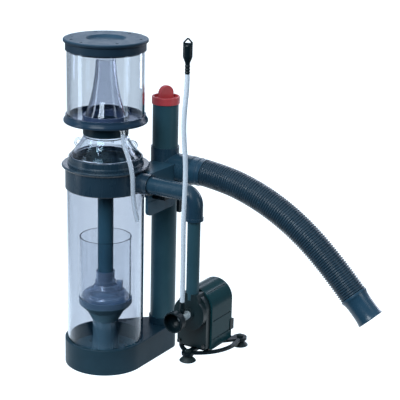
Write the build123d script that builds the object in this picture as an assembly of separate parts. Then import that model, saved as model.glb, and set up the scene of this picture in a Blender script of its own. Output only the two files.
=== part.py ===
from build123d import *
import math
import os

os.makedirs("parts", exist_ok=True)

# ---------------------------------------------------------------------------
# Hang-on protein skimmer.  Millimetres, +Z up.  Origin: axis of the reaction
# chamber on the underside of the base.  +X points to the tank wall, Y runs
# along that wall.
# ---------------------------------------------------------------------------

# --- base and the outlet pipe beside the chamber
BASE_H = 35.0
BASE_R = 53.5
OUT_X, OUT_Y = 35.5, 84.0          # outlet pipe axis
BASE_r = 18.0                      # small end of the base (BASE_R = OUT_X + BASE_r)
FLOOR_Z = 11.0                     # underside of the chamber floor
WELL_Z = 14.5                      # floor surface under the reaction tube
PIPE_R, PIPE_r = 17.0, 15.0

# --- reaction chamber
TUBE_R, TUBE_r = 50.0, 47.4
TUBE_TOP = 249.0
INNER_R, INNER_r = 34.0, 32.2
INNER_Z0, INNER_Z1 = 87.0, 175.0
DOWN_R, DOWN_r = 10.2, 8.0
DOWN_Z0, DOWN_Z1 = 109.8, 248.0
PED_R, PED_r = 17.0, 15.6
BOWL_RIM_R = 35.0

# --- collar
COL_R, COL_Z0, COL_Z1 = 52.0, 241.4, 269.5
LIP_R, LIP_Z1 = 56.3, 273.5
LOCK_R, LOCK_Z1 = 47.4, 284.0
INLET_Z = 255.5                    # axis of the inlet arm
INLET_R, INLET_r = 11.0, 8.25
RISER_X = 135.0                    # axis of the pump riser
RISER_R, RISER_r = 8.2, 6.5
RISER_Z0, RISER_Z1 = 118.0, 238.0

# --- foam cone
NECK_R, NECK_r = 25.0, 22.8
NECK_TOP = 325.0

# --- cup
CUP_Z0 = 332.0
CUP_R, CUP_r = 49.3, 46.8
CUP_TOP = 425.9
FLANGE_R = 53.7
LID_R = 53.5

# --- tee, standpipe, regulator
TEE_R = 18.9
TEE_Z = 257.0
TEE_Z0, TEE_Z1 = 228.0, 283.5
TEE_END = 82.0
STAND_TOP = 344.0

# --- outlet hose
HOSE_R, HOSE_r = 17.7, 15.45
HOSE_PTS = [(98.0, 84, 257.0), (129.8, 84, 253.7), (162.8, 84, 245.4), (194.5, 84, 233.2), (224.6, 84, 217.3),
            (252.6, 84, 198.0), (278.4, 84, 175.9), (302.7, 84, 152.1), (316.5, 84, 137.6)]
CUFF_L = 37.0

# --- pump
PX = RISER_X
AX_Z = 100.0                       # impeller axis height
ARCH_Z = 105.0
BODY_W = 24.0                      # half width
BODY_Z0 = 50.5
BODY_Y0, BODY_Y1 = 10.0, 61.0
CABLE_X, CABLE_Z = 153.0, 69.0
CUP_CENTRES = [(135.0, -8.0), (164.5, 73.0), (105.5, 73.0)]

# --- air line
NIP_Y = -23.5
AIR_R = 3.0
_sx, _sy = 0.842, 0.5395


def _air(s, z):
    return (PX + _sx * s, NIP_Y + _sy * s, z)


AIR_PTS = [_air(0.0, 121), _air(0.0, 168), _air(-0.9, 228), _air(1.3, 294),
           _air(-3.0, 341), _air(-1.7, 371), _air(0.4, 393), _air(0.4, 409.5)]

# --- cup drain tube
DRAIN_R = 3.0
DRAIN_PTS = [(44.2, -25.0, 323.0), (44.2, -25.0, 312.0), (53.7, -26.3, 295.5),
             (60.8, -27.0, 274.0), (61.2, -27.0, 250.0), (63.0, -26.3, 231.0),
             (67.2, -25.0, 214.0)]

parts = {}


# ------------------------------------------------------------------ helpers
def cyl(r, z0, z1, x=0.0, y=0.0):
    return Pos(x, y, z0) * extrude(Circle(r), z1 - z0)


def ring(ro, ri, z0, z1, x=0.0, y=0.0):
    return Pos(x, y, z0) * extrude(Circle(ro) - Circle(ri), z1 - z0)


def box(x0, y0, z0, x1, y1, z1):
    return Pos((x0 + x1) / 2, (y0 + y1) / 2, (z0 + z1) / 2) * Box(x1 - x0, y1 - y0, z1 - z0)


def rev(pts, x=0.0, y=0.0):
    """Solid of revolution about a vertical axis from (radius, z) points."""
    wire = Polyline(*[(r, 0, z) for r, z in pts], close=True)
    return Pos(x, y, 0) * revolve(make_face(wire), Axis.Z, 360)


def rev_y(pts, x, z):
    """Solid of revolution about an axis along Y from (radius, y) points."""
    wire = Polyline(*[(r, yy, 0) for r, yy in pts], close=True)
    return Pos(x, 0, z) * revolve(make_face(wire), Axis.Y, 360)


def cyl_y(r, y0, y1, x, z):
    return Pos(x, y1, z) * Rot(90, 0, 0) * extrude(Circle(r), y1 - y0)


def ring_y(ro, ri, y0, y1, x, z):
    return Pos(x, y1, z) * Rot(90, 0, 0) * extrude(Circle(ro) - Circle(ri), y1 - y0)


def cyl_x(r, x0, x1, y, z):
    return Pos(x0, y, z) * Rot(0, 90, 0) * extrude(Circle(r), x1 - x0)


def ring_x(ro, ri, x0, x1, y, z):
    return Pos(x0, y, z) * Rot(0, 90, 0) * extrude(Circle(ro) - Circle(ri), x1 - x0)


def drop_sketch(R, r, cx, cy):
    """Tear-drop outline: the hull of a big circle at the origin and a small one."""
    d = math.hypot(cx, cy)
    phi = math.atan2(cy, cx)
    al = math.acos((R - r) / d)
    a, b = phi - al, phi + al
    poly = [(R * math.cos(a), R * math.sin(a)),
            (cx + r * math.cos(a), cy + r * math.sin(a)),
            (cx + r * math.cos(b), cy + r * math.sin(b)),
            (R * math.cos(b), R * math.sin(b))]
    face = make_face(Polyline(*poly, close=True))
    return Circle(R) + Pos(cx, cy) * Circle(r) + face


def drop(R, r, cx, cy, z0, z1):
    return Pos(0, 0, z0) * extrude(drop_sketch(R, r, cx, cy), z1 - z0)


def torus(R, r, z, x=0.0, y=0.0):
    return Pos(x, y, z) * Torus(R, r)


def route(pts):
    radii = []
    for i in range(1, len(pts) - 1):
        a, b, c = Vector(*pts[i - 1]), Vector(*pts[i]), Vector(*pts[i + 1])
        u, v = b - a, c - b
        half = math.radians(u.get_angle(v)) / 2
        radii.append(0.45 * min(u.length, v.length) / math.tan(half))
    return FilletPolyline(*pts, radius=radii), radii


def swept(pts, ro, ri=0.0):
    path, radii = route(pts)
    start = Plane(origin=pts[0], z_dir=Vector(*pts[1]) - Vector(*pts[0]))
    solid = sweep(start * Circle(ro), path=path)
    if ri > 0:
        solid = solid - sweep(start * Circle(ri), path=path)
    return solid, path, radii


def report(name, solid, path, radii, ro, ri=0.0):
    area = math.pi * (ro * ro - ri * ri)
    want = area * path.length
    print(f"{name}: length {path.length:.1f} mm, radii {[round(r, 1) for r in radii]},"
          f" volume {solid.volume:.0f} against {want:.0f} mm3")


def add(name, shape):
    parts[name] = shape


def group(shapes):
    return Compound(children=[s if isinstance(s, Solid) else s.solid() for s in shapes])


# ------------------------------------------------------------------ base
housing = drop(BASE_R, BASE_r, OUT_X, OUT_Y, 0, BASE_H)
housing = chamfer(housing.edges().group_by(Axis.Z)[-1], 0.9)
housing -= drop(BASE_R - 3.0, BASE_r - 3.0, OUT_X, OUT_Y, -1, 3.0)      # recess of the bottom plate
housing -= drop(45.5, 13.0, OUT_X, OUT_Y, 2.9, FLOOR_Z)                # water channel
housing -= cyl(TUBE_R + 0.05, FLOOR_Z, BASE_H + 1)                     # tube well, down to the ledge of the floor
housing -= cyl(PIPE_R + 0.05, WELL_Z, BASE_H + 1, OUT_X, OUT_Y)
housing -= cyl(PIPE_r, FLOOR_Z - 0.1, WELL_Z + 0.1, OUT_X, OUT_Y)
add("base_housing", housing)
add("base_bottom_plate", drop(BASE_R - 3.05, BASE_r - 3.05, OUT_X, OUT_Y, 0, 2.9))
add("outlet_socket", ring(18.6, PIPE_R + 0.05, BASE_H, 45.0, OUT_X, OUT_Y))

# ribbed disc that is the chamber floor, on the ledge of the base, with the drain holes
floor = cyl(TUBE_R, FLOOR_Z, WELL_Z) + cyl(47.0, WELL_Z - 0.1, WELL_Z + 1.2)
for r in (22, 26, 30, 34, 38, 42, 45.5):
    floor += ring(r + 0.5, r - 0.5, WELL_Z + 1.0, WELL_Z + 2.2)
floor -= cyl(PED_R + 0.1, WELL_Z, WELL_Z + 4)
for ang in range(20, 161, 28):
    t = math.radians(ang)
    floor -= cyl(5.0, FLOOR_Z - 1, WELL_Z + 4, 31 * math.cos(t), 31 * math.sin(t))
add("floor_rib_disc", floor)

add("outlet_pipe", ring(PIPE_R, PIPE_r, WELL_Z, 240.0, OUT_X, OUT_Y))

# ------------------------------------------------------------------ chamber
tube = ring(TUBE_R, TUBE_r, WELL_Z, TUBE_TOP)
tube -= cyl_x(13.6, 30, 60, 0, INLET_Z)
add("reaction_tube", tube)

add("pedestal_tube", ring(PED_R, PED_r, WELL_Z, 59.5))
add("diffuser_bowl", rev([(12.5, 51.5), (15.5, 51.5), (15.5, 59.5), (17.4, 59.5), (20.2, 64.5), (24.9, 72.6), (33.6, 81.4),
                          (BOWL_RIM_R, 83.6), (BOWL_RIM_R, 91.0), (INNER_R + 0.05, 91.0), (INNER_R + 0.05, INNER_Z0),
                          (31.5, INNER_Z0), (31.5, 82.2), (23.0, 73.4), (18.4, 65.6), (15.0, 60.5), (12.5, 58.5)]))
add("inner_cylinder", ring(INNER_R, INNER_r, INNER_Z0, INNER_Z1))
dome = rev([(31.3, 84.5), (31.3, 92.0), (30.9, 94.4), (29.3, 97.2), (25.6, 99.6), (21.7, 101.4), (17.6, 104.6),
            (15.0, 108.2), (13.9, 109.6), (8.4, 109.6), (8.4, 107.6), (12.6, 107.5), (13.3, 106.9), (16.0, 103.1),
            (20.6, 99.5), (24.7, 97.6), (27.9, 95.6), (29.0, 93.8), (29.3, 91.8), (29.3, 84.5)])
dome += cyl(4.4, 101.0, 113.0, 15.5, 9.93)                              # vent stub on the shoulder
dome -= cyl(2.7, 98.0, 114.0, 15.5, 9.93)
for k in range(4):                                                      # bubble ports
    a = math.radians(90 * k + 75)
    dome -= cyl(1.8, 92.0, 106.0, 24.5 * math.cos(a), 24.5 * math.sin(a))
add("diffuser_dome", dome)
add("dome_hub", rev([(DOWN_R + 0.05, 109.6), (13.6, 109.6), (13.6, 114.0), (12.2, 114.6), (12.2, 127.0), (DOWN_R + 0.05, 127.0)]))
add("downtube", ring(DOWN_R, DOWN_r, DOWN_Z0, DOWN_Z1))

# ------------------------------------------------------------------ collar
collar = rev([(TUBE_R + 0.05, COL_Z0), (COL_R - 0.6, COL_Z0), (COL_R, COL_Z0 + 0.8), (COL_R, COL_Z1 - 1.5),
              (53.0, COL_Z1), (LIP_R - 0.8, COL_Z1 + 0.6), (LIP_R, COL_Z1 + 1.6), (LIP_R, LIP_Z1 - 1.2),
              (LIP_R - 1.0, LIP_Z1), (46.5, LIP_Z1), (46.5, TUBE_TOP), (TUBE_R + 0.05, TUBE_TOP)])
collar += cyl_x(13.5, 49.0, 70.5, 0, INLET_Z)
collar -= cyl(TUBE_R + 0.05, COL_Z0 - 2, INLET_Z - 13.0)
collar -= cyl_x(12.05, 40.0, 54.0, 0, INLET_Z)
collar -= cyl_x(INLET_R + 0.05, 54.0, 72.0, 0, INLET_Z)
add("collar_housing", collar)
lock = rev([(44.3, LIP_Z1), (48.8, LIP_Z1), (48.8, LIP_Z1 + 2.0), (LOCK_R + 0.2, LIP_Z1 + 2.8),
            (LOCK_R, LIP_Z1 + 3.4), (LOCK_R, LOCK_Z1 - 0.6), (LOCK_R - 0.6, LOCK_Z1), (44.3, LOCK_Z1)])
add("collar_lock_ring", lock)

elbow_pts = [(53.9, 0, INLET_Z), (0, 0, INLET_Z), (0, 0, 238.5)]
p_in = FilletPolyline(*elbow_pts, radius=13.0)
pl = Plane(origin=elbow_pts[0], z_dir=(-1, 0, 0))
inner_elbow = sweep(pl * Circle(12.0), path=p_in)
inner_elbow -= sweep(pl * Circle(DOWN_r), path=p_in)
inner_elbow -= cyl(DOWN_R + 0.05, 238.0, DOWN_Z1)
add("inner_elbow", inner_elbow)

arm_pts = [(54.1, 0, INLET_Z), (RISER_X, 0, INLET_Z), (RISER_X, 0, 222.0)]
p_arm = FilletPolyline(*arm_pts, radius=15.0)
pl = Plane(origin=arm_pts[0], z_dir=(1, 0, 0))
arm = sweep(pl * Circle(INLET_R), path=p_arm)
arm -= sweep(pl * Circle(INLET_r), path=p_arm)
arm += ring(INLET_R + 0.7, RISER_R + 0.5, 222.0, 226.0, RISER_X, 0)
add("inlet_elbow", arm)

# ------------------------------------------------------------------ foam cone
cone = rev([(41.6, 268.6), (44.0, 268.6), (44.0, 276.1), (42.15, 276.1), (42.15, 278.3), (44.0, 278.3),
            (44.0, LOCK_Z1 + 0.3), (45.6, LOCK_Z1 + 0.3), (45.6, LOCK_Z1 + 1.2), (41.3, 290.0), (36.0, 297.0),
            (31.6, 303.8), (29.6, 307.6), (28.4, 310.0), (NECK_R, 310.8), (NECK_R, NECK_TOP), (NECK_r, NECK_TOP),
            (NECK_r, 308.8), (25.8, 308.0), (27.2, 306.2), (29.2, 302.4), (33.7, 295.5), (39.2, 288.3), (41.6, 284.0)])
lug_trim = rev([(0, 280), (44.7, 280), (44.7, 285), (40.4, 290.0), (35.1, 297.0), (30.7, 303.8), (28.7, 307.6), (27.6, 309.2), (0, 310)])
for k in range(4):                                                      # half-round grip loops
    lug = Rot(90, 0, 0) * (Cylinder(6.4, 3.4) - Cylinder(3.5, 10))
    lug = fillet(lug.edges(), 0.6)
    cone += Rot(0, 0, -67.4 + 90 * k) * ((Pos(35.0, 0, 298.6) * lug) - lug_trim)
add("foam_cone", cone)
add("cone_o_ring", torus(43.2, 0.98, 277.2))

# ------------------------------------------------------------------ cup
cup_base = rev([(25.35, 328.0), (51.5, 328.0), (53.1, 328.5), (FLANGE_R, 329.4), (FLANGE_R, 331.2), (52.6, 333.2),
                (51.4, 335.0), (51.1, 338.0), (49.35, 338.0), (49.35, CUP_Z0), (28.5, CUP_Z0), (28.5, 337.3),
                (26.15, 337.3), (26.15, CUP_Z0), (25.35, CUP_Z0)])
cup_base -= cyl(1.6, 327.0, 333.0, 44.2, -25.0)
add("cup_base", cup_base)
add("neck_collar", rev([(25.35, 311.8), (28.5, 311.8), (29.1, 312.4), (29.3, 327.95), (25.35, 327.95),
                        (25.35, 321.1), (27.0, 321.1), (27.0, 319.3), (25.35, 319.3)]))
add("neck_o_ring", torus(26.12, 0.8, 320.2))
add("cup_wall", ring(CUP_R, CUP_r, CUP_Z0, CUP_TOP))
add("cup_riser", rev([(24.0, CUP_Z0), (26.1, CUP_Z0), (26.1, 337.6), (23.0, 346.0), (19.6, 357.0), (16.6, 371.0),
                      (14.3, 387.0), (13.1, 400.0), (12.8, 408.0), (10.8, 408.0), (11.1, 400.0), (12.3, 387.0),
                      (14.6, 371.0), (17.6, 357.0), (21.0, 346.0), (24.0, 337.0)]))
nipple = ring(3.0, 1.5, 323.0, 326.6, 44.2, -25.0) + ring(4.6, 1.5, 326.4, 328.0, 44.2, -25.0)
add("drain_nipple", nipple)

# ------------------------------------------------------------------ lid
lid = rev([(0, 428.6), (43.4, 428.6), (43.4, 417.6), (46.0, 417.6), (46.0, 421.0), (44.6, 421.0), (44.6, 423.2),
           (46.0, 423.2), (46.0, 426.2), (49.7, 426.2), (49.7, 420.0), (50.9, 420.0), (50.9, 429.6), (52.6, 430.2),
           (LID_R, 431.0), (LID_R, 433.2), (LID_R - 0.5, 434.0), (LID_R - 1.6, 434.5), (25.5, 434.5), (24.6, 433.9),
           (22.3, 431.6), (20.5, 431.0), (8.0, 430.6), (0, 430.5)])
for u, v in ((-43.2, -7.3), (-41.9, 16.7), (-28.5, 35.3), (16.0, 40.2), (44.0, 6.3), (28.1, -33.2), (-14.7, -40.7)):
    # blind holes, u along the skew of the unit and v across it
    lid -= cyl(2.1, 432.0, 436.0, 0.842 * u + 0.5395 * v, 0.5395 * u - 0.842 * v)
add("cup_lid", lid)
add("lid_seal", torus(45.55, 0.92, 422.1))

# ------------------------------------------------------------------ tee and standpipe
tee = cyl(TEE_R, TEE_Z0, TEE_Z1, OUT_X, OUT_Y) + cyl_x(TEE_R, OUT_X, TEE_END, OUT_Y, TEE_Z)
tee += cyl_x(15.4, TEE_END - 1, 96.0, OUT_Y, TEE_Z)
tee -= cyl(PIPE_R + 0.05, TEE_Z0 - 1, 240.0, OUT_X, OUT_Y)
tee -= cyl(PIPE_r, 239.0, 273.0, OUT_X, OUT_Y)
tee -= cyl(PIPE_R + 0.05, 272.0, TEE_Z1 + 1, OUT_X, OUT_Y)
tee -= cyl_x(13.0, OUT_X, 98.0, OUT_Y, TEE_Z)
add("tee_fitting", tee)
add("upper_standpipe", ring(PIPE_R, PIPE_r, 272.0, STAND_TOP, OUT_X, OUT_Y))

cap = rev([(0, 344.4), (17.35, 344.4), (17.35, 340.9), (18.1, 340.9), (18.35, 341.5), (18.35, 349.9), (17.8, 350.7),
           (16.4, 350.7), (16.0, 350.1), (15.8, 347.2), (0, 347.2)], OUT_X, OUT_Y)
TAB_R, TAB_T, TAB_C = 10.5, 7.0, 354.1
tab = Rot(90, 0, 0) * Pos(0, 0, -TAB_T / 2) * extrude(Circle(TAB_R) + Pos(0, -4.2) * Rectangle(2 * TAB_R, 8.4), TAB_T)
tab = Pos(0, 0, TAB_C) * tab
tab = fillet(tab.edges().filter_by(lambda e: e.center().Z > TAB_C - 8.0 and abs(abs(e.center().Y) - TAB_T / 2) < 0.01), 1.5)
cap += Pos(OUT_X, OUT_Y, 0) * Rot(0, 0, 67.0) * tab
add("regulator_cap", cap)
sleeve = ring(14.92, 13.2, 238.0, 344.4, OUT_X, OUT_Y)
sleeve -= cyl_x(12.6, OUT_X, OUT_X + 20, OUT_Y, TEE_Z)
add("regulator_sleeve", sleeve)

# ------------------------------------------------------------------ bracket and hook
plate = box(58.5, 5.0, 211.0, 61.9, 67.0, 266.5) + box(58.5, 5.0, 211.0, 62.5, 67.0, 229.0)
plate = fillet(plate.edges().filter_by(Axis.X).group_by(Axis.Z)[0], 7.0)
plate -= cyl_x(13.9, 50, 75, 0, INLET_Z)
web = box(28.0, 14.2, 262.5, 58.6, 67.0, 266.5)
rib1 = box(48.0, 16.0, 232.0, 58.6, 19.0, 262.6)
bracket = plate + web + rib1
bracket -= cyl(COL_R + 0.1, 200, 269.0)
bracket -= cyl(TEE_R + 0.1, 200, 300, OUT_X, OUT_Y)
bracket -= cyl_x(TEE_R + 0.1, OUT_X, 80, OUT_Y, TEE_Z)
add("hanger_bracket", max(bracket.solids(), key=lambda s: s.volume))
hook = box(61.9, 16.0, 233.0, 80.5, 58.0, 238.0)
hook += box(79.5, 45.5, 213.0, 83.5, 52.5, 238.0) + Pos(81.5, 49, 213) * Rot(0, 90, 0) * Cylinder(3.5, 4.0)
hook = hook.solid() if hasattr(hook, "solid") else hook
add("hanger_hook", hook)

# ------------------------------------------------------------------ hose
start_dir = (Vector(*HOSE_PTS[1]) - Vector(*HOSE_PTS[0])).normalized()
start_plane = Plane(origin=HOSE_PTS[0], x_dir=(0, 1, 0), z_dir=start_dir)
cuff_in = Pos(TEE_END, OUT_Y, TEE_Z) * Rot(0, 90, 0) * revolve(make_face(Polyline(
    (15.45, 0, 0), (18.3, 0, 0), (18.3, 0, 9.5), (17.2, 0, 10.5), (17.0, 0, 13.0), (17.7, 0, 14.2), (17.7, 0, 19.0),
    (15.45, 0, 19.0), close=True)), Axis.Z, 360)
cuff_in -= start_plane.location * Pos(0, 0, 15) * Box(60, 60, 30)
add("hose_inlet_cuff", cuff_in)
hose, hose_path, hose_radii = swept(HOSE_PTS, HOSE_R, HOSE_r)
add("outlet_hose", hose)
d_end = (Vector(*HOSE_PTS[-1]) - Vector(*HOSE_PTS[-2])).normalized()
end_plane = Plane(origin=HOSE_PTS[-1], x_dir=(0, 1, 0), z_dir=d_end)
cuff_face = make_face(Polyline((13.9, 0, 0), (17.6, 0, 0), (17.5, 0, 3.0), (16.4, 0, 7.0), (15.9, 0, 11.0), (15.7, 0, 20.0),
                               (15.9, 0, 29.0), (16.6, 0, 34.5), (16.9, 0, 36.2), (16.5, 0, CUFF_L), (14.9, 0, CUFF_L),
                               (14.0, 0, 33.0), (13.9, 0, 20.0), close=True))
add("hose_end_cuff", end_plane.location * revolve(cuff_face, Axis.Z, 360))

# ------------------------------------------------------------------ pump
add("riser_pipe", ring(RISER_R, RISER_r, RISER_Z0, RISER_Z1, RISER_X, 0))


def arch(half, z0, zc, y0, y1):
    prof = Pos(0, (zc + z0) / 2) * Rectangle(2 * half, zc - z0) + Pos(0, zc) * Circle(half)
    return Pos(PX, y1, 0) * Rot(90, 0, 0) * extrude(prof, y1 - y0)


body = arch(BODY_W, BODY_Z0, ARCH_Z, BODY_Y0, BODY_Y1)
body = fillet(body.edges().group_by(Axis.Y)[-1], 2.5)
body -= arch(BODY_W - 2.6, BODY_Z0 + 2.6, ARCH_Z, BODY_Y0 - 1, BODY_Y1 - 3.0)
for sx in (-1, 1):                                                      # parting grooves along the flanks
    for gz in (63.0, 88.0):
        body -= box(PX + sx * 24.2 - 0.9, BODY_Y0 + 2, gz - 0.6, PX + sx * 24.2 + 0.9, BODY_Y1 - 6, gz + 0.6)
    a = math.radians(52)
    body -= Pos(PX + sx * 24 * math.cos(a), (BODY_Y0 + BODY_Y1) / 2 - 2, ARCH_Z + 24 * math.sin(a)) * \
        Rot(0, -sx * math.degrees(a), 0) * Box(1.6, BODY_Y1 - BODY_Y0 - 8, 1.3)
for sx in (-1, 1):                                                      # screw bosses in the lower corners
    body += ring_y(3.6, 1.25, BODY_Y0, BODY_Y0 + 14, PX + sx * 18.2, 56.6)
body -= cyl_y(3.45, BODY_Y1 - 4, BODY_Y1 + 1, CABLE_X, CABLE_Z)         # hole of the lead
add("pump_housing", body)

core = arch(BODY_W - 2.9, 64.0, ARCH_Z, 14.0, 50.0) - cyl_y(10.6, 13, 51, PX, AX_Z)
add("motor_core", core)
add("rotor_can", rev_y([(9.6, 11.6), (20.8, 11.6), (20.8, 13.6), (10.5, 13.6), (10.5, 49.5), (0, 49.5), (0, 48.3), (9.6, 48.3)],
                       PX, AX_Z))
add("rotor_magnet", ring_y(9.1, 1.55, 17.0, 44.0, PX, AX_Z))
vanes = cyl_y(5.0, -1.0, 17.0, PX, AX_Z)
for k in range(6):
    vanes += Pos(PX, 0, AX_Z) * Rot(0, 60 * k, 0) * box(3.5, -1.5, -0.8, 15.0, 6.5, 0.8)
vanes += cyl_y(15.0, 6.4, 8.0, PX, AX_Z)
vanes -= cyl_y(1.55, -3, 20, PX, AX_Z)
add("impeller_vanes", vanes)
add("impeller_shaft", cyl_y(1.5, -5.0, 47.0, PX, AX_Z))
add("shaft_bushes", group([ring_y(3.0, 1.5, -5.0, -2.2, PX, AX_Z), ring_y(4.0, 1.5, 44.6, 48.3, PX, AX_Z)]))

cover = arch(21.3, 53.2, ARCH_Z, 0.0, 10.0) + cyl_y(22.0, -8.0, 1.0, PX, AX_Z)
boss_face = make_face(Polyline((-11.0, 105.0), (-11.0, 126.5), (11.0, 126.5), (19.0, 106.0), close=True))
cover += Pos(PX, 9.5, 0) * Rot(90, 0, 0) * extrude(boss_face, 17.4)
cover -= cyl_y(17.0, -4.6, 11.0, PX, AX_Z)                              # volute
cover -= cyl(RISER_r, 112.0, RISER_Z0 + 0.1, PX, 0)
cover -= cyl(RISER_R + 0.05, RISER_Z0, 127.0, PX, 0)
cover -= cyl_y(6.4, -7.2, -4.0, PX, AX_Z)                               # intake eye
cover += ring_y(7.4, 4.25, -9.4, -7.2, PX, AX_Z)
cover -= cyl_y(4.25, -10.0, -7.0, PX, AX_Z)
spider = ring_y(4.3, 3.05, -5.2, -2.4, PX, AX_Z)
for k in range(3):
    spider += Pos(PX, 0, AX_Z) * Rot(0, 120 * k + 30, 0) * box(3.6, -7.0, -0.9, 7.0, -4.9, 0.9)
cover += spider
for sx in (-1, 1):
    cover -= cyl_y(1.5, -1.0, 11.0, PX + sx * 18.2, 56.6)
add("volute_cover", cover)
add("pump_o_ring", ring_y(20.4, 18.4, 10.0, 11.6, PX, AX_Z))
screw = []
for sx in (-1, 1):
    s = cyl_y(2.5, -2.0, 0.0, PX + sx * 18.2, 56.6) + cyl_y(1.2, -0.1, 20.0, PX + sx * 18.2, 56.6)
    s -= box(PX + sx * 18.2 - 1.8, -2.5, 56.25, PX + sx * 18.2 + 1.8, -1.2, 56.95)
    s -= box(PX + sx * 18.2 - 0.35, -2.5, 54.8, PX + sx * 18.2 + 0.35, -1.2, 58.4)
    screw.append(s)
add("cover_screws", group(screw))
gland = box(149.0, BODY_Y1, 62.0, 159.9, 63.5, 76.0) + box(159.05, 55.0, 62.0, 159.9, 61.1, 76.0)
gland = fillet(gland.edges().filter_by(Axis.Y).group_by(Axis.X)[0], 1.2)
gland += cyl_y(3.4, BODY_Y1 - 3.0, BODY_Y1 + 0.1, CABLE_X, CABLE_Z)
gland -= cyl_y(2.7, BODY_Y1 - 5.0, BODY_Y1 + 5.0, CABLE_X, CABLE_Z)
add("cable_gland", gland)

add("venturi_body", rev_y([(3.2, -7.2), (4.2, -7.2), (4.2, -12.2), (5.3, -12.5),
                           (5.3, -13.9), (4.2, -14.3), (4.2, -15.7), (5.3, -16.0), (5.3, -17.4), (4.2, -17.8), (4.2, -19.0),
                           (6.0, -19.5), (6.0, -27.0), (4.4, -27.0), (3.0, -22.0), (3.0, -11.0)], PX, AX_Z)
    - cyl(1.2, AX_Z + 1, AX_Z + 8, PX, NIP_Y))
nip = cyl(3.0, AX_Z + 4.0, 121.0, PX, NIP_Y) - cyl_y(6.03, -40, 0, PX, AX_Z)
nip = max(nip.solids(), key=lambda s: s.volume)
nip = nip + ring(3.7, 2.9, 109.0, 112.0, PX, NIP_Y)
nip -= cyl(1.2, AX_Z, 122.0, PX, NIP_Y)
add("air_nipple", nip)
add("intake_bell", rev_y([(4.4, -27.0), (7.0, -27.0), (7.6, -29.0), (10.4, -31.6), (12.6, -34.2), (13.5, -37.0), (13.5, -44.6),
                          (13.0, -45.5), (12.0, -45.5), (11.6, -44.6), (11.6, -37.6), (10.6, -35.4), (8.6, -33.0), (5.4, -30.2),
                          (4.4, -29.0)], PX, AX_Z))

# cradle: a pad under the motor with three lugs tied by bowed arms
CR0, CR1 = 44.5, 48.0
cradle = box(116.0, 11.0, CR0 + 1.0, 154.0, 55.0, BODY_Z0)
cradle -= box(121.0, 17.0, CR0, 149.0, 49.0, BODY_Z0 + 1)
for cx, cy in CUP_CENTRES:
    cradle += cyl(8.0 if cy < 0 else 9.0, CR0, CR1, cx, cy)


def bowed(p, q, sag, w):
    """Flat strip with round ends, bowed sideways by sag from p to q."""
    p, q = Vector(*p), Vector(*q)
    m = (p + q) * 0.5
    d = (q - p).normalized()
    n = Vector(d.Y, -d.X)
    m = m + n * sag
    arc = ThreePointArc((p.X, p.Y), (m.X, m.Y), (q.X, q.Y))
    return Pos(0, 0, CR0) * extrude(make_face(offset(arc, w / 2)), CR1 - CR0)


cradle += bowed((138.0, -5.0), (166.0, 68.0), 15.0, 4.6)
cradle += bowed((104.0, 68.0), (132.0, -5.0), 15.0, 4.6)
cradle += box(131.0, -6.0, CR0, 139.0, 13.0, CR1)
cradle += Pos(156.5, 62.0, (CR0 + CR1) / 2) * Rot(0, 0, 50) * Box(24.0, 12.0, CR1 - CR0)
cradle += Pos(113.5, 62.0, (CR0 + CR1) / 2) * Rot(0, 0, -50) * Box(24.0, 12.0, CR1 - CR0)
for cx, cy in CUP_CENTRES:
    cradle -= cyl(2.8, CR0 - 1, CR1 + 1, cx, cy)
cradle -= box(PX - 30, BODY_Y0, BODY_Z0, PX + 30, 70, 60)
add("pump_cradle", cradle)
cups = []
for cx, cy in CUP_CENTRES:
    cups.append(rev([(0, 39.0), (4.5, 38.6), (8.5, 36.6), (10.2, 36.0), (10.7, 36.4), (10.2, 37.4), (7.4, 40.2), (5.0, 42.4),
                     (4.6, 44.5), (2.75, 44.5), (2.75, 48.0), (4.4, 48.0), (4.2, 50.2), (2.6, 51.2), (0, 51.4)], cx, cy))
add("suction_cups", group(cups))

# ------------------------------------------------------------------ free tubes
air, air_path, air_radii = swept(AIR_PTS, AIR_R)
add("air_tube", air)
sx0, sy0 = AIR_PTS[-1][0], AIR_PTS[-1][1]
sil = rev([(0, 409.5), (2.6, 409.5), (3.3, 411.5), (2.7, 413.2), (3.3, 415.2), (2.7, 417.0), (3.3, 419.0), (2.7, 421.0),
           (3.3, 424.0), (5.2, 428.5), (5.75, 430.5), (5.75, 443.4), (5.2, 444.7), (3.8, 445.3), (0, 445.3)], sx0, sy0)
eye = make_face(Polyline((-5.7, 444.0), (-5.7, 447.4), (-1.0, 452.6), (1.0, 452.6), (5.7, 447.4), (5.7, 444.0), close=True))
hole = make_face(Polyline((-3.9, 446.9), (3.9, 446.9), (0.4, 450.9), (-0.4, 450.9), close=True))
sil += Pos(sx0, sy0, 0) * Rot(0, 0, 32.0) * Pos(0, 1.4, 0) * Rot(90, 0, 0) * extrude(eye - hole, 2.8)
add("air_silencer", sil)
drain, drain_path, drain_radii = swept(DRAIN_PTS, DRAIN_R)
add("drain_tube", drain)

report("outlet_hose", hose, hose_path, hose_radii, HOSE_R, HOSE_r)
report("air_tube", air, air_path, air_radii, AIR_R)
report("drain_tube", drain, drain_path, drain_radii, DRAIN_R)

for name, shape in parts.items():
    export_step(shape, f"parts/{name}.step")
print(len(parts), "nodes")
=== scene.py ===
import bpy
import bmesh
import math
from mathutils import Vector, Matrix


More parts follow.
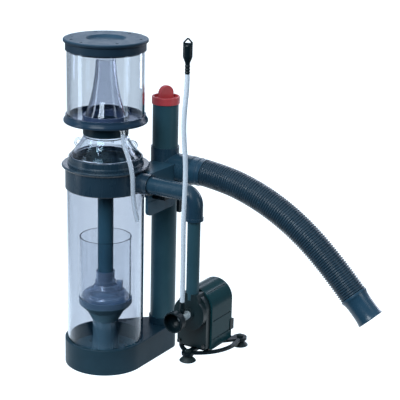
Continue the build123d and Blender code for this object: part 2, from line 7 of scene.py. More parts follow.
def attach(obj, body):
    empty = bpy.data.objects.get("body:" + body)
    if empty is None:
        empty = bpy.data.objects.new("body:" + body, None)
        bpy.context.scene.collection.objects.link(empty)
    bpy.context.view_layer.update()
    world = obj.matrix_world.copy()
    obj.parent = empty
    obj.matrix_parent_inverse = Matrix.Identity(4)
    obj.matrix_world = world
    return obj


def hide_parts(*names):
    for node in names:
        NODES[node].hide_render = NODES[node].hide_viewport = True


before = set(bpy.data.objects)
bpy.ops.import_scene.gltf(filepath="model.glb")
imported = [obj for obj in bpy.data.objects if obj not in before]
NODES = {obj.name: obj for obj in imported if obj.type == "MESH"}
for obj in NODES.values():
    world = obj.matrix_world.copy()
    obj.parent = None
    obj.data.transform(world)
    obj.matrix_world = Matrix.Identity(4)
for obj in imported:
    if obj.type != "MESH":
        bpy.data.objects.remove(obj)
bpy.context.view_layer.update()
scene = bpy.context.scene

# =============================================================== the routes
HOSE_PTS = [(98.0, 84, 257.0), (129.8, 84, 253.7), (162.8, 84, 245.4), (194.5, 84, 233.2), (224.6, 84, 217.3),
            (252.6, 84, 198.0), (278.4, 84, 175.9), (302.7, 84, 152.1), (316.5, 84, 137.6)]


def _air(s, z):
    return (135.0 + 0.842 * s, -23.5 + 0.5395 * s, z)


AIR_PTS = [_air(0.0, 121), _air(0.0, 168), _air(-0.9, 228), _air(1.3, 294),
           _air(-3.0, 341), _air(-1.7, 371), _air(0.4, 393), _air(0.4, 409.5)]
DRAIN_PTS = [(44.2, -25.0, 323.0), (44.2, -25.0, 312.0), (53.7, -26.3, 295.5),
             (60.8, -27.0, 274.0), (61.2, -27.0, 250.0), (63.0, -26.3, 231.0),
             (67.2, -25.0, 214.0)]
MM = 0.001


# =============================================================== camera
def make_camera():
    az, pitch, roll = math.radians(32.65), math.radians(17.35), math.radians(1.05)
    back = Vector((math.sin(az) * math.cos(pitch), -math.cos(az) * math.cos(pitch), math.sin(pitch)))
    right = Vector((math.cos(az), math.sin(az), 0.0))
    up = back.cross(right)
    r = right * math.cos(roll) + up * math.sin(roll)
    u = -right * math.sin(roll) + up * math.cos(roll)
    cam = bpy.data.cameras.new("camera")
    cam.lens = 115.28
    cam.sensor_width = 36.0
    cam.shift_x = 0.0619
    cam.clip_start, cam.clip_end = 0.05, 60.0
    ob = bpy.data.objects.new("camera", cam)
    scene.collection.objects.link(ob)
    m = Matrix((r, u, back)).transposed().to_4x4()
    m.translation = Vector((0.9269, -1.2801, 0.7180))
    ob.matrix_world = m
    scene.camera = ob
    return back, right


BACK, RIGHT = make_camera()
FRONT = Vector((BACK.x, BACK.y, 0)).normalized()      # level direction from the object to the camera


# =============================================================== materials
def new_tree(name):
    m = bpy.data.materials.new(name)
    m.use_nodes = True
    nt = m.node_tree
    nt.nodes.clear()
    return m, nt


def N(nt, kind, **sets):
    n = nt.nodes.new(kind)
    for k, v in sets.items():
        setattr(n, k, v)
    return n


def L(nt, a, b):
    nt.links.new(a, b)


def noise(nt, co, scale, detail=3.0, rough=0.55, stretch=None):
    if stretch is not None:
        mp = N(nt, "ShaderNodeMapping")
        mp.inputs["Scale"].default_value = stretch
        L(nt, co, mp.inputs["Vector"])
        co = mp.outputs["Vector"]
    n = N(nt, "ShaderNodeTexNoise")
    n.inputs["Scale"].default_value = scale
    n.inputs["Detail"].default_value = detail
    n.inputs["Roughness"].default_value = rough
    L(nt, co, n.inputs["Vector"])
    return n.outputs["Fac"]


def remap(nt, src, lo, hi, to_lo, to_hi):
    r = N(nt, "ShaderNodeMapRange")
    r.inputs["From Min"].default_value = lo
    r.inputs["From Max"].default_value = hi
    r.inputs["To Min"].default_value = to_lo
    r.inputs["To Max"].default_value = to_hi
    L(nt, src, r.inputs["Value"])
    return r.outputs["Result"]


def mixcol(nt, fac, a, b):
    m = N(nt, "ShaderNodeMix", data_type="RGBA")
    if hasattr(fac, "is_linked"):
        L(nt, fac, m.inputs[0])
    else:
        m.inputs[0].default_value = fac
    for idx, v in ((6, a), (7, b)):
        if isinstance(v, tuple):
            m.inputs[idx].default_value = (*v, 1.0)
        else:
            L(nt, v, m.inputs[idx])
    return m.outputs[2]


def math2(nt, op, a, b=None):
    m = N(nt, "ShaderNodeMath", operation=op)
    for i, v in enumerate((a, b)):
        if v is None:
            continue
        if isinstance(v, (int, float)):
            m.inputs[i].default_value = v
        else:
            L(nt, v, m.inputs[i])
    return m.outputs[0]


def edge_mask(nt, radius):
    """1 along a worn edge, 0 on a flat, from how far the rounded normal turns from the true one."""
    bv = N(nt, "ShaderNodeBevel", samples=4)
    bv.inputs["Radius"].default_value = radius
    geo = N(nt, "ShaderNodeNewGeometry")
    dot = N(nt, "ShaderNodeVectorMath", operation="DOT_PRODUCT")
    L(nt, bv.outputs["Normal"], dot.inputs[0])
    L(nt, geo.outputs["Normal"], dot.inputs[1])
    return remap(nt, dot.outputs["Value"], 0.995, 0.80, 0.0, 1.0), bv.outputs["Normal"]


def plastic(name, base, alt, worn, rough=0.34, spec=0.3, grain=0.06, grain_scale=1500.0, streak=None,
            bevel=0.0006, coat=0.0, spread=0.10, sheen_scale=26.0):
    """Moulded or extruded plastic: slow colour drift, fine grain, faint handling marks and paler, duller edges."""
    m, nt = new_tree(name)
    co = N(nt, "ShaderNodeTexCoord").outputs["Object"]
    p = N(nt, "ShaderNodeBsdfPrincipled")
    out = N(nt, "ShaderNodeOutputMaterial")
    drift = noise(nt, co, sheen_scale, 4.0, 0.6)
    col = mixcol(nt, remap(nt, drift, 0.32, 0.68, 0.0, 1.0), base, alt)
    edge, normal = edge_mask(nt, bevel)
    blotch = noise(nt, co, 210.0, 5.0, 0.65)
    wear = math2(nt, "MULTIPLY", edge, remap(nt, blotch, 0.38, 0.66, 0.10, 0.75))
    col = mixcol(nt, wear, col, worn)
    L(nt, col, p.inputs["Base Color"])
    marks = noise(nt, co, 90.0, 6.0, 0.7, stretch=streak or (1.0, 1.0, 0.25))
    r = remap(nt, marks, 0.30, 0.72, rough - spread * 0.5, rough + spread)
    r = math2(nt, "ADD", r, math2(nt, "MULTIPLY", wear, 0.12))
    L(nt, r, p.inputs["Roughness"])
    p.inputs["Specular IOR Level"].default_value = spec
    p.inputs["IOR"].default_value = 1.5
    if coat:
        p.inputs["Coat Weight"].default_value = coat
        p.inputs["Coat Roughness"].default_value = 0.22
    fine = noise(nt, co, grain_scale, 3.0, 0.6)
    wave = noise(nt, co, 55.0, 2.0, 0.5)
    h = math2(nt, "ADD", math2(nt, "MULTIPLY", fine, 0.35), wave)
    b = N(nt, "ShaderNodeBump")
    b.inputs["Strength"].default_value = grain
    b.inputs["Distance"].default_value = 0.0006
    L(nt, h, b.inputs["Height"])
    L(nt, normal, b.inputs["Normal"])
    L(nt, b.outputs["Normal"], p.inputs["Normal"])
    L(nt, p.outputs["BSDF"], out.inputs["Surface"])
    return m


def paint_light_zone(m, source, lo, hi, colour, spec=None):
    """Paints light or shade into part of a moulded piece as a second colour: by distance from the axis, by height, or
    by how level a face is.
    """
    nt = m.node_tree
    p = nt.nodes["Principled BSDF"]
    if source == "radius":
        co = N(nt, "ShaderNodeTexCoord").outputs["Object"]
        flat = N(nt, "ShaderNodeVectorMath", operation="MULTIPLY")
        L(nt, co, flat.inputs[0])
        flat.inputs[1].default_value = (1.0, 1.0, 0.0)
        ln = N(nt, "ShaderNodeVectorMath", operation="LENGTH")
        L(nt, flat.outputs["Vector"], ln.inputs[0])
        v = ln.outputs["Value"]
    else:
        sep = N(nt, "ShaderNodeSeparateXYZ")
        L(nt, N(nt, "ShaderNodeNewGeometry").outputs["Normal"] if source == "level" else
          N(nt, "ShaderNodeTexCoord").outputs["Object"], sep.inputs[0])
        v = sep.outputs["Z"]
    old = p.inputs["Base Color"].links[0].from_socket
    L(nt, mixcol(nt, remap(nt, v, lo, hi, 0.0, 1.0), old, colour), p.inputs["Base Color"])
    if spec is not None:
        L(nt, remap(nt, v, lo, hi, p.inputs["Specular IOR Level"].default_value, spec), p.inputs["Specular IOR Level"])


def clear(name, tint, alt, rough=0.02, ior=1.49, shadow=(0.82, 0.86, 0.92), haze=0.03, wave=0.02, weight=1.0,
          stretch=(1.0, 1.0, 0.12), spec=0.5, body=None, density=0.0, glint=(1.0, 1.0, 1.0)):
    """Clear acrylic or vinyl: a faint tint that drifts, smudges in the gloss, slow waves from drawing the tube."""
    m, nt = new_tree(name)
    co = N(nt, "ShaderNodeTexCoord").outputs["Object"]
    p = N(nt, "ShaderNodeBsdfPrincipled")
    out = N(nt, "ShaderNodeOutputMaterial")
    drift = noise(nt, co, 30.0, 3.0, 0.5, stretch=stretch)
    L(nt, mixcol(nt, remap(nt, drift, 0.3, 0.7, 0.0, 1.0), tint, alt), p.inputs["Base Color"])
    smudge = noise(nt, co, 60.0, 6.0, 0.65)
    L(nt, remap(nt, smudge, 0.42, 0.75, rough, rough + haze), p.inputs["Roughness"])
    p.inputs["Transmission Weight"].default_value = weight
    p.inputs["IOR"].default_value = ior
    p.inputs["Specular IOR Level"].default_value = spec
    p.inputs["Specular Tint"].default_value = (*glint, 1.0)
    b = N(nt, "ShaderNodeBump")
    b.inputs["Strength"].default_value = wave
    b.inputs["Distance"].default_value = 0.0006
    L(nt, noise(nt, co, 45.0, 2.0, 0.4, stretch=stretch), b.inputs["Height"])
    L(nt, b.outputs["Normal"], p.inputs["Normal"])
    lp = N(nt, "ShaderNodeLightPath")
    tr = N(nt, "ShaderNodeBsdfTransparent")
    tr.inputs["Color"].default_value = (*shadow, 1.0)
    mx = N(nt, "ShaderNodeMixShader")
    L(nt, lp.outputs["Is Shadow Ray"], mx.inputs[0])
    L(nt, p.outputs["BSDF"], mx.inputs[1])
    L(nt, tr.outputs["BSDF"], mx.inputs[2])
    L(nt, mx.outputs["Shader"], out.inputs["Surface"])
    if body:
        va = N(nt, "ShaderNodeVolumeAbsorption")
        va.inputs["Color"].default_value = (*body, 1.0)
        va.inputs["Density"].default_value = density
        L(nt, va.outputs["Volume"], out.inputs["Volume"])
    return m


M = {}
SLATE_W = (0.030, 0.068, 0.108)
M["slate"] = plastic("slate_moulded", (0.0055, 0.0180, 0.0280), (0.0078, 0.0235, 0.0360), SLATE_W, rough=0.37, spec=0.08, grain=0.05)
M["base"] = plastic("slate_moulded_base", (0.0055, 0.0180, 0.0280), (0.0078, 0.0235, 0.0360), SLATE_W, rough=0.37, spec=0.08, grain=0.05)
# painted light: inside 50.1 mm, within the acrylic tube, the housing is painted a lighter teal with little gloss,
# lifted to make up for light the tube holds back
paint_light_zone(M["base"], "radius", 0.0506, 0.0501, (0.0300, 0.0850, 0.1080), 0.03)
M["bracket"] = plastic("slate_bracket", (0.0130, 0.0400, 0.0620), (0.0170, 0.0490, 0.0750), (0.05, 0.10, 0.15), rough=0.30, spec=0.12)
M["slate_pipe"] = plastic("slate_extruded_pipe", (0.0165, 0.0470, 0.0610), (0.0215, 0.0580, 0.0750), SLATE_W, rough=0.32,
                          spec=0.12, grain=0.05, streak=(9.0, 9.0, 0.35))
M["slate_fit"] = plastic("slate_fitting", (0.0085, 0.0260, 0.0430), (0.0115, 0.0335, 0.0545), SLATE_W, rough=0.24, spec=0.24)
M["ring"] = plastic("slate_ring", (0.0068, 0.0180, 0.0300), (0.0095, 0.0240, 0.0390), SLATE_W, rough=0.25, spec=0.30, grain=0.04)
# painted light: the bowl is painted far lighter than its own dark slate, to make up for light lost inside the acrylic
# tube
M["bowl"] = plastic("bowl_moulded", (0.0900, 0.1450, 0.2050), (0.1100, 0.1700, 0.2350), (0.16, 0.22, 0.30), rough=0.30, spec=0.30)
# painted light: below 80 mm the bowl's downward-facing cone is painted lighter still, to lift its shade
paint_light_zone(M["bowl"], "height", 0.0850, 0.0800, (0.2000, 0.3500, 0.4100))
# painted light: a lighter copy of the slate for the floor disc and inner elbow inside the acrylic tube, lifted to make
# up for the light the tube holds back
M["slate_in"] = plastic("slate_inside_lifted", (0.0260, 0.0800, 0.1100), (0.0330, 0.0950, 0.1300), (0.08, 0.16, 0.21), rough=0.40, spec=0.05,
                        grain=0.05, streak=(9.0, 9.0, 0.35))
# painted light: a lighter copy of the slate for the downtube inside the acrylic tube, lifted further to make up for the
# light the tube holds back
M["downtube"] = plastic("slate_downtube", (0.0350, 0.0950, 0.1300), (0.0440, 0.1120, 0.1520), (0.08, 0.16, 0.21), rough=0.34, spec=0.12,
                        grain=0.05, streak=(9.0, 9.0, 0.35))
M["lid"] = plastic("lid_moulded", (0.0140, 0.0380, 0.0640), (0.0210, 0.0500, 0.0820), (0.04, 0.08, 0.12), rough=0.46, spec=0.10,
                   grain=0.08, grain_scale=1100.0)
# painted shade: faces that turn from level, the skirt, are painted darker than the top
paint_light_zone(M["lid"], "level", 0.70, 0.30, (0.0060, 0.0165, 0.0290))
paint_light_zone(M["lid"], "height", 0.4202, 0.4199, (0.0900, 0.1150, 0.1500))     # painted highlight: the plug below the skirt is painted a pale blue-grey, standing in for the bright line along its lower edge
# painted light: the cup's floor inside 47.8 mm is painted a pale glossy lavender, a painted sheen; past 48.6 mm the
# flange is dark slate with little gloss
M["cupbase"] = plastic("cup_base_moulded", (0.0480, 0.0700, 0.1250), (0.0620, 0.0880, 0.1500), (0.09, 0.13, 0.20), rough=0.20,
                       spec=0.50)
paint_light_zone(M["cupbase"], "radius", 0.0478, 0.0486, (0.0100, 0.0240, 0.0430), 0.10)
M["hose"] = plastic("hose_ribbed", (0.0095, 0.0250, 0.0410), (0.0135, 0.0330, 0.0530), (0.030, 0.058, 0.095), rough=0.27, spec=0.28,
                    grain=0.04, bevel=0.0003)
M["cuff"] = plastic("hose_cuff", (0.0085, 0.0320, 0.0560), (0.0120, 0.0400, 0.0700), (0.04, 0.07, 0.11), rough=0.28, spec=0.34)
M["red"] = plastic("red_knob", (0.34, 0.035, 0.042), (0.42, 0.050, 0.054), (0.55, 0.14, 0.13), rough=0.36, spec=0.30, grain=0.10)
M["black"] = plastic("black_moulded", (0.0018, 0.0055, 0.0080), (0.0034, 0.0085, 0.0115), (0.02, 0.028, 0.035), rough=0.30, spec=0.12)
M["pump"] = plastic("pump_housing_plastic", (0.0045, 0.0270, 0.0330), (0.0068, 0.0330, 0.0400), (0.025, 0.045, 0.060), rough=0.16,
                    spec=0.055, grain=0.03, sheen_scale=18.0)
M["volute"] = plastic("volute_plastic", (0.0028, 0.0090, 0.0110), (0.0045, 0.0130, 0.0160), (0.025, 0.042, 0.055), rough=0.33,
                      spec=0.24, grain=0.06)
M["rubber"] = plastic("rubber_black", (0.0045, 0.0110, 0.0125), (0.0075, 0.0165, 0.0180), (0.028, 0.040, 0.044), rough=0.48, spec=0.22,
                      grain=0.16, grain_scale=800.0)
M["gasket"] = plastic("rubber_gasket", (0.0030, 0.0035, 0.0045), (0.0050, 0.0055, 0.0065), (0.02, 0.02, 0.022), rough=0.5, spec=0.2,
                      grain=0.12, grain_scale=800.0)
M["white"] = plastic("white_moulded", (0.70, 0.70, 0.66), (0.78, 0.78, 0.74), (0.84, 0.84, 0.82), rough=0.35, spec=0.4)
M["ferrite"] = plastic("ferrite", (0.045, 0.045, 0.050), (0.070, 0.068, 0.070), (0.12, 0.12, 0.12), rough=0.5, spec=0.5, grain=0.25)
M["ceramic"] = plastic("ceramic_shaft", (0.78, 0.77, 0.74), (0.84, 0.83, 0.80), (0.88, 0.88, 0.86), rough=0.15, spec=0.5, grain=0.02)
M["resin"] = plastic("potting_resin", (0.010, 0.010, 0.011), (0.020, 0.019, 0.018), (0.04, 0.04, 0.04), rough=0.3, spec=0.5, grain=0.3)
M["steel"] = plastic("darkened_screw", (0.06, 0.065, 0.07), (0.09, 0.095, 0.10), (0.2, 0.2, 0.2), rough=0.35, spec=0.5, grain=0.05)
M["steel"].node_tree.nodes["Principled BSDF"].inputs["Metallic"].default_value = 1.0

M["tube"] = clear("acrylic_tube", (0.735, 0.745, 0.770), (0.765, 0.772, 0.795), rough=0.012, haze=0.02, shadow=(0.92, 0.95, 0.98),
                  spec=0.25, glint=(0.22, 0.30, 0.36), body=(0.11, 0.27, 0.49), density=70.0)
M["cupwall"] = clear("acrylic_cup", (0.775, 0.785, 0.800), (0.805, 0.815, 0.825), rough=0.012, haze=0.02, shadow=(0.92, 0.95, 0.98),
                     spec=0.25, glint=(0.46, 0.52, 0.58), body=(0.11, 0.27, 0.49), density=70.0)
M["inner"] = clear("acrylic_inner", (0.93, 0.95, 0.975), (0.96, 0.975, 0.99), rough=0.01, haze=0.02, shadow=(0.93, 0.95, 0.97),
                   spec=0.4)
M["pedestal"] = clear("acrylic_pedestal", (0.16, 0.28, 0.34), (0.20, 0.33, 0.40), rough=0.10, haze=0.08, weight=0.6,
                      shadow=(0.5, 0.6, 0.65), spec=0.3)
M["riser"] = clear("acrylic_riser", (0.86, 0.88, 0.93), (0.90, 0.915, 0.95), rough=0.02, haze=0.02, shadow=(0.93, 0.95, 0.97), ior=1.56,
                   body=(0.20, 0.30, 0.50), density=70.0)
M["cone"] = clear("acrylic_cone", (0.80, 0.835, 0.875), (0.85, 0.875, 0.905), rough=0.015, haze=0.03, shadow=(0.9, 0.92, 0.95),
                  glint=(0.22, 0.32, 0.38), body=(0.11, 0.27, 0.49), density=50.0)
M["dome"] = clear("smoke_dome", (0.46, 0.54, 0.64), (0.58, 0.66, 0.77), rough=0.10, haze=0.10, weight=0.84, shadow=(0.6, 0.65, 0.75),
                  stretch=(1, 1, 1), spec=0.3)
M["vinyl"] = clear("vinyl_tube", (0.52, 0.57, 0.64), (0.60, 0.65, 0.71), rough=0.10, ior=1.45, haze=0.06, weight=0.72,
                   shadow=(0.85, 0.88, 0.92), spec=0.4)
M["venturi"] = clear("venturi_grey", (0.42, 0.47, 0.50), (0.52, 0.57, 0.60), rough=0.12, haze=0.08, weight=0.45,
                     shadow=(0.7, 0.75, 0.8), stretch=(1, 1, 1))
M["silicone"] = clear("silicone_milky", (0.42, 0.47, 0.53), (0.49, 0.54, 0.60), rough=0.24, ior=1.41, haze=0.10, weight=0.15,
                      shadow=(0.85, 0.87, 0.92), spec=0.3)


# =============================================================== stage
def area(name, loc, aim, size, power, colour):
    li = bpy.data.lights.new(name, "AREA")
    li.shape = "RECTANGLE"
    li.size, li.size_y = size
    li.energy = power
    li.color = colour
    ob = bpy.data.objects.new(name, li)
    scene.collection.objects.link(ob)
    ob.location = loc
    ob.rotation_mode = "QUATERNION"
    ob.rotation_quaternion = (Vector(aim) - Vector(loc)).to_track_quat("-Z", "Y")
    return ob


def stage():
    me = bpy.data.meshes.new("floor")
    s = 30.0
    me.from_pydata([(-s, -s, 0), (s, -s, 0), (s, s, 0), (-s, s, 0)], [], [(0, 1, 2, 3)])
    ob = bpy.data.objects.new("floor", me)
    scene.collection.objects.link(ob)
    m, nt = new_tree("floor_paper")
    p = N(nt, "ShaderNodeBsdfPrincipled")
    out = N(nt, "ShaderNodeOutputMaterial")
    co = N(nt, "ShaderNodeTexCoord").outputs["Object"]
    paper = mixcol(nt, noise(nt, co, 3.0), (0.20, 0.21, 0.22), (0.23, 0.24, 0.25))
    # a lit table under the unit and behind it, a dark studio floor past the table's front edge
    d = N(nt, "ShaderNodeVectorMath", operation="DOT_PRODUCT")
    L(nt, co, d.inputs[0])
    d.inputs[1].default_value = tuple(FRONT)
    edge = remap(nt, d.outputs["Value"], 0.126, 0.150, 0.0, 1.0)
    e = N(nt, "ShaderNodeVectorMath", operation="DOT_PRODUCT")
    L(nt, co, e.inputs[0])
    e.inputs[1].default_value = tuple(RIGHT)
    # the lit table is a wedge that widens away from the front, and it falls off at both sides
    left = math2(nt, "SUBTRACT", math2(nt, "MULTIPLY", d.outputs["Value"], 0.131), math2(nt, "ADD", e.outputs["Value"], 0.165))
    right = math2(nt, "ADD", math2(nt, "MULTIPLY", d.outputs["Value"], 0.167), math2(nt, "SUBTRACT", e.outputs["Value"], 0.410))
    side = remap(nt, math2(nt, "MAXIMUM", left, right), 0.0, 0.16, 0.0, 0.72)
    # seen directly the whole sweep is lit, and the flags are only met in reflections and through the acrylic
    flag = remap(nt, N(nt, "ShaderNodeLightPath").outputs["Is Camera Ray"], 0.0, 1.0, 1.0, 0.0)
    edge = math2(nt, "MULTIPLY", edge, flag)
    side = math2(nt, "MULTIPLY", side, flag)
    L(nt, mixcol(nt, edge, paper, (0.03, 0.04, 0.055)), p.inputs["Base Color"])
    L(nt, mixcol(nt, math2(nt, "MAXIMUM", edge, side), (0.99, 1.10, 1.18), (0.0, 0.0, 0.0)), p.inputs["Emission Color"])
    p.inputs["Emission Strength"].default_value = 1.0
    p.inputs["Roughness"].default_value = 0.9
    p.inputs["Specular IOR Level"].default_value = 0.05
    L(nt, p.outputs["BSDF"], out.inputs["Surface"])
    me.materials.append(m)
    mid = Vector((0.06, 0.03, 0.22))

    def softbox(name, azimuth, dist, z, size, radiance, colour, aim_z=None):
        """A box light at an azimuth in degrees from the camera's side, positive to the right."""
        t = math.radians(azimuth)
        loc = Vector((mid.x, mid.y, 0)) + (FRONT * math.cos(t) + RIGHT * math.sin(t)) * dist + Vector((0, 0, z))
        area(name, loc, Vector((mid.x, mid.y, z if aim_z is None else aim_z)), size,
             radiance * math.pi * size[0] * size[1], colour)

    softbox("left_strip", -78, 0.66, 0.44, (0.15, 0.62), 7.0, (0.84, 0.92, 1.0))
    softbox("back_low", 180, 1.30, 0.77, (0.60, 0.22), 3.6, (0.76, 0.84, 1.0))
    softbox("right_strip", 62, 0.95, 0.40, (0.26, 0.70), 4.0, (0.84, 0.94, 1.0))
    softbox("back_right", 130, 1.0, 0.60, (0.16, 0.90), 8.0, (0.80, 0.84, 1.0))
    softbox("back_top", 180, 1.3, 1.40, (0.90, 0.40), 3.0, (0.86, 0.92, 1.0), 0.2)
    softbox("front_fill", -27, 1.20, 1.10, (0.80, 0.80), 15.0, (0.86, 0.95, 1.0), 0.2)
    li = bpy.data.lights.new("overhead", "SUN")
    li.energy = 0.9
    li.angle = math.radians(70)
    li.color = (0.86, 0.95, 1.0)
    ob = bpy.data.objects.new("overhead", li)
    scene.collection.objects.link(ob)
    ob.rotation_mode = "QUATERNION"
    ob.rotation_quaternion = (-(Vector((0, 0, 1)) + FRONT * 0.10 - RIGHT * 0.30)).to_track_quat("-Z", "Y")
    w = bpy.data.worlds.new("studio")
    scene.world = w
    w.use_nodes = True
    nt = w.node_tree
    nt.nodes.clear()
    bg = N(nt, "ShaderNodeBackground")
    wo = N(nt, "ShaderNodeOutputWorld")
    co = N(nt, "ShaderNodeTexCoord").outputs["Generated"]
    d = N(nt, "ShaderNodeVectorMath", operation="DOT_PRODUCT")
    L(nt, co, d.inputs[0])
    d.inputs[1].default_value = tuple(-FRONT)
    f = remap(nt, d.outputs["Value"], -0.10, 0.60, 0.0, 1.0)
    sep = N(nt, "ShaderNodeSeparateXYZ")
    L(nt, co, sep.inputs[0])
    low = remap(nt, sep.outputs["Z"], 0.50, 0.75, 0.0, 1.0)
    walls = mixcol(nt, f, (0.045, 0.070, 0.095), mixcol(nt, low, (0.62, 0.70, 0.84), (0.30, 0.36, 0.42)))
    L(nt, mixcol(nt, remap(nt, sep.outputs["Z"], 0.45, 0.90, 0.0, 1.0), walls, (0.50, 0.60, 0.68)), bg.inputs["Color"])
    bg.inputs["Strength"].default_value = 1.0
    L(nt, bg.outputs["Background"], wo.inputs["Surface"])


stage()
scene.view_settings.view_transform = "Standard"
scene.view_settings.look = "None"
scene.cycles.use_denoising = True
scene.cycles.max_bounces = 20
scene.cycles.transmission_bounces = 18
scene.cycles.transparent_max_bounces = 16
scene.cycles.glossy_bounces = 6
scene.cycles.diffuse_bounces = 3
scene.cycles.caustics_reflective = False
scene.cycles.caustics_refractive = False


# =============================================================== mesh helpers
def put(name, verts, faces, material, body, sharp=32.0, stands_for=()):
    me = bpy.data.meshes.new(name)
    me.from_pydata([tuple(v) for v in verts], [], faces)
    me.validate()
    bm = bmesh.new()
    bm.from_mesh(me)
    bmesh.ops.remove_doubles(bm, verts=bm.verts, dist=1e-6)
    bmesh.ops.recalc_face_normals(bm, faces=bm.faces)
    bm.to_mesh(me)
    bm.free()
    me.shade_smooth()
    me.set_sharp_from_angle(angle=math.radians(sharp))
    me.materials.append(material)
    ob = bpy.data.objects.new(name, me)
    scene.collection.objects.link(ob)
    if stands_for:
        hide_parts(*stands_for)
    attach(ob, body)
    return ob


def rounded(pts, radii, steps=4):
    """A closed outline of (r, z) with each corner turned on an arc; radii is one number or a list."""
    n = len(pts)
    out = []
    for i in range(n):
        r = radii if isinstance(radii, (int, float)) else radii[i]
        p = Vector(pts[i]).to_2d()
        a, b = Vector(pts[i - 1]).to_2d() - p, Vector(pts[(i + 1) % n]).to_2d() - p
        if r <= 0 or a.length < 1e-6 or b.length < 1e-6:
            out.append(tuple(p))
            continue
        ang = a.angle(b)
        if ang > math.radians(172):
            out.append(tuple(p))
            continue
        cut = min(r / math.tan(ang / 2), 0.45 * a.length, 0.45 * b.length)
        s, e = p + a.normalized() * cut, p + b.normalized() * cut
        for k in range(steps + 1):
            t = k / steps
            out.append(tuple((1 - t) ** 2 * s + 2 * t * (1 - t) * p + t * t * e))
    return out


def spin(outline, seg=128, place=None):
    """Verts and faces of a closed outline of (r, z) in mm turned about Z, placed by a matrix in metres."""
    verts, faces = [], []
    n = len(outline)
    for k in range(seg):
        a = 2 * math.pi * k / seg
        c, s = math.cos(a), math.sin(a)
        for r, z in outline:
            v = Vector((r * c * MM, r * s * MM, z * MM))
            verts.append(place @ v if place is not None else v)
    for k in range(seg):
        k2 = (k + 1) % seg
        for i in range(n):
            j = (i + 1) % n
            if abs(outline[i][0]) < 1e-9 and abs(outline[j][0]) < 1e-9:
                continue
            faces.append((k * n + i, k2 * n + i, k2 * n + j, k * n + j))
    return verts, faces


def at(x, y, z=0.0):
    return Matrix.Translation(Vector((x * MM, y * MM, z * MM)))


def nurbs_points(name, pts, resolution=40):
    """The points of the route's own NURBS line."""
    cu = bpy.data.curves.new(name + "_line", "CURVE")
    cu.dimensions = "3D"
    cu.resolution_u = resolution
    sp = cu.splines.new("NURBS")
    sp.points.add(len(pts) - 1)
    for q, p in zip(sp.points, pts):
        q.co = (p[0] * MM, p[1] * MM, p[2] * MM, 1.0)
    sp.order_u = 3
    sp.use_endpoint_u = True
    ob = bpy.data.objects.new(name + "_line", cu)
    scene.collection.objects.link(ob)
    bpy.context.view_layer.update()
    me = bpy.data.meshes.new_from_object(ob.evaluated_get(bpy.context.evaluated_depsgraph_get()))
    line = [v.co.copy() for v in me.vertices]
    bpy.data.objects.remove(ob)
    bpy.data.curves.remove(cu)
    bpy.data.meshes.remove(me)
    return line


def along(line, stations):
    """(point, tangent) at each arc length in metres along a line of points."""
    acc = [0.0]
    for a, b in zip(line, line[1:]):
        acc.append(acc[-1] + (b - a).length)
    out, i = [], 0
    for s in stations:
        while i < len(acc) - 2 and acc[i + 1] < s:
            i += 1
        seg = acc[i + 1] - acc[i]
        t = (s - acc[i]) / seg if seg > 0 else 0.0
        p = line[i].lerp(line[i + 1], t)
        a, b = line[max(i - 1, 0)], line[min(i + 2, len(line) - 1)]
        out.append((p, (b - a).normalized()))
    return out, acc[-1]


def length_of(line):
    return sum((b - a).length for a, b in zip(line, line[1:]))


def sleeve(stations, radii, seg, first=Vector((0, 1, 0))):
    """Rings carried along (point, tangent) stations with no twist."""
    verts, rings = [], []
    u = first
    for (p, t), r in zip(stations, radii):
        u = (u - t * u.dot(t)).normalized()
        v = t.cross(u)
        rings.append(len(verts))
        for k in range(seg):
            a = 2 * math.pi * k / seg
            verts.append(p + (u * math.cos(a) + v * math.sin(a)) * r)
    faces = []
    for a, b in zip(rings, rings[1:]):
        for k in range(seg):
            k2 = (k + 1) % seg
            faces.append((a + k, a + k2, b + k2, b + k))
    return verts, faces, rings


def hollow(outer, inner, seg, first=Vector((0, 1, 0))):
    """A wall between an outer and an inner sleeve, closed at both ends."""
    v1, f1, r1 = sleeve(*outer, seg, first)
    v2, f2, r2 = sleeve(*inner, seg, first)
    o = len(v1)
    faces = f1 + [tuple(reversed([i + o for i in f])) for f in f2]
    for a, b, flip in ((r1[0], r2[0] + o, True), (r1[-1], r2[-1] + o, False)):
        for k in range(seg):
            k2 = (k + 1) % seg
            q = (a + k, a + k2, b + k2, b + k)
            faces.append(tuple(reversed(q)) if flip else q)
    return v1 + v2, faces


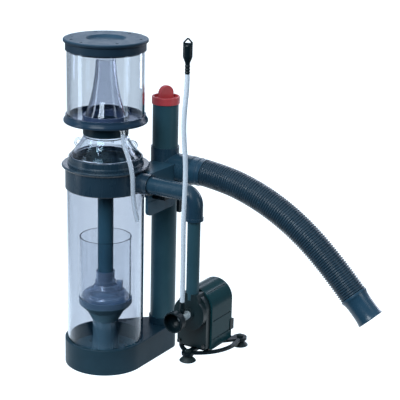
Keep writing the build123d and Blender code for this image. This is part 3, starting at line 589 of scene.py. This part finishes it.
# =============================================================== cords
def ribbed_hose():
    line = nurbs_points("hose", HOSE_PTS)
    total = length_of(line)
    pitch = 0.00306
    ribs = int(total / pitch)
    pitch = total / ribs
    shape = [(0.00, 16.15), (0.14, 16.25), (0.28, 17.15), (0.42, 17.60), (0.60, 17.60), (0.74, 17.15), (0.88, 16.25)]
    st, ra = [], []
    for k in range(ribs):
        for f, r in shape:
            st.append((k + f) * pitch)
            ra.append(r * MM)
    st.append(total)
    ra.append(16.15 * MM)
    outer, _ = along(line, st)
    ist, ira = [], []
    for k in range(ribs):
        for f, r in ((0.0, 15.5), (0.5, 15.95)):
            ist.append((k + f) * pitch)
            ira.append(r * MM)
    ist.append(total)
    ira.append(15.5 * MM)
    inner, _ = along(line, ist)
    v, f = hollow((outer, ra), (inner, ira), 56)
    ob = put("ribbed_hose", v, f, M["hose"], "chamber", 50, ["outlet_hose"])
    path, _ = along(line, [total * i / 60 for i in range(61)])
    end, tan = outer[-1]
    tan = (line[-1] - line[-2]).normalized()
    # the moulded end cuff carries on along the hose's last direction
    side = Vector((0, 1, 0))
    m = Matrix((side, tan.cross(side), tan)).transposed().to_4x4()
    m.translation = line[-1]
    prof = [(13.9, 0.0), (17.3, 0.0), (17.75, 0.5), (17.75, 3.2), (17.1, 4.2), (16.5, 6.2), (16.0, 9.5), (15.8, 13.0), (15.7, 18.0),
            (15.75, 24.0), (15.95, 29.0), (16.3, 32.5), (16.75, 34.6), (17.0, 35.8), (16.95, 36.6), (16.5, 37.0), (15.6, 36.9),
            (14.9, 36.2), (14.3, 34.2), (14.0, 31.0), (13.9, 24.0)]
    cv, cf = spin(rounded(prof, 0.35, 3), 112, m)
    cuff = put("hose_cuff_moulding", cv, cf, M["cuff"], "chamber", 60, ["hose_end_cuff"])
    return total


def small_tube(name, pts, ro, ri, material, body, node):
    line = nurbs_points(name, pts)
    total = length_of(line)
    n = max(60, int(total / 0.0022))
    st = [total * i / n for i in range(n + 1)]
    rings, _ = along(line, st)
    ra = [ro * MM] * (n + 1)
    ra[0] = ra[-1] = (ro - 0.18) * MM
    v, f = hollow((rings, ra), (rings, [ri * MM] * (n + 1)), 36)
    ob = put(name, v, f, material, body, 55, [node])
    return line, total


ribbed_hose()
small_tube("air_line", AIR_PTS, 3.0, 2.0, M["silicone"], "pump", "air_tube")
small_tube("cup_drain_line", DRAIN_PTS, 3.0, 2.0, M["vinyl"], "cup", "drain_tube")


# =============================================================== CAD nodes: finishes
def finish_node(node, key):
    ob = NODES[node]
    if not ob.material_slots:
        ob.data.materials.append(M[key])
    for s in ob.material_slots:
        s.material = M[key]


FINISH = {
    "slate": ["base_bottom_plate", "outlet_socket", "neck_collar"],
    "base": ["base_housing"],
    "bracket": ["hanger_bracket"],
    "ring": ["collar_housing", "collar_lock_ring"],
    "slate_in": ["floor_rib_disc", "inner_elbow"],
    "downtube": ["downtube"],
    "bowl": ["diffuser_bowl"],
    "slate_pipe": ["outlet_pipe", "upper_standpipe", "riser_pipe", "regulator_sleeve"],
    "slate_fit": ["tee_fitting", "inlet_elbow"],
    "lid": ["cup_lid"],
    "cupbase": ["cup_base"],
    "cuff": ["hose_inlet_cuff"],
    "red": ["regulator_cap"],
    "black": ["hanger_hook", "cable_gland", "air_nipple", "air_silencer", "intake_bell", "pump_cradle"],
    "pump": ["pump_housing"],
    "volute": ["volute_cover"],
    "rubber": ["suction_cups", "shaft_bushes"],
    "gasket": ["lid_seal", "neck_o_ring", "cone_o_ring", "pump_o_ring"],
    "white": ["rotor_can", "impeller_vanes"],
    "ferrite": ["rotor_magnet"],
    "ceramic": ["impeller_shaft"],
    "resin": ["motor_core"],
    "steel": ["cover_screws"],
    "tube": ["reaction_tube"],
    "cupwall": ["cup_wall"],
    "inner": ["inner_cylinder", "drain_nipple"],
    "pedestal": ["pedestal_tube"],
    "riser": ["cup_riser"],
    "cone": ["foam_cone"],
    "dome": ["diffuser_dome", "dome_hub"],
    "venturi": ["venturi_body"],
}
for key, names in FINISH.items():
    for n in names:
        if n in NODES:
            finish_node(n, key)
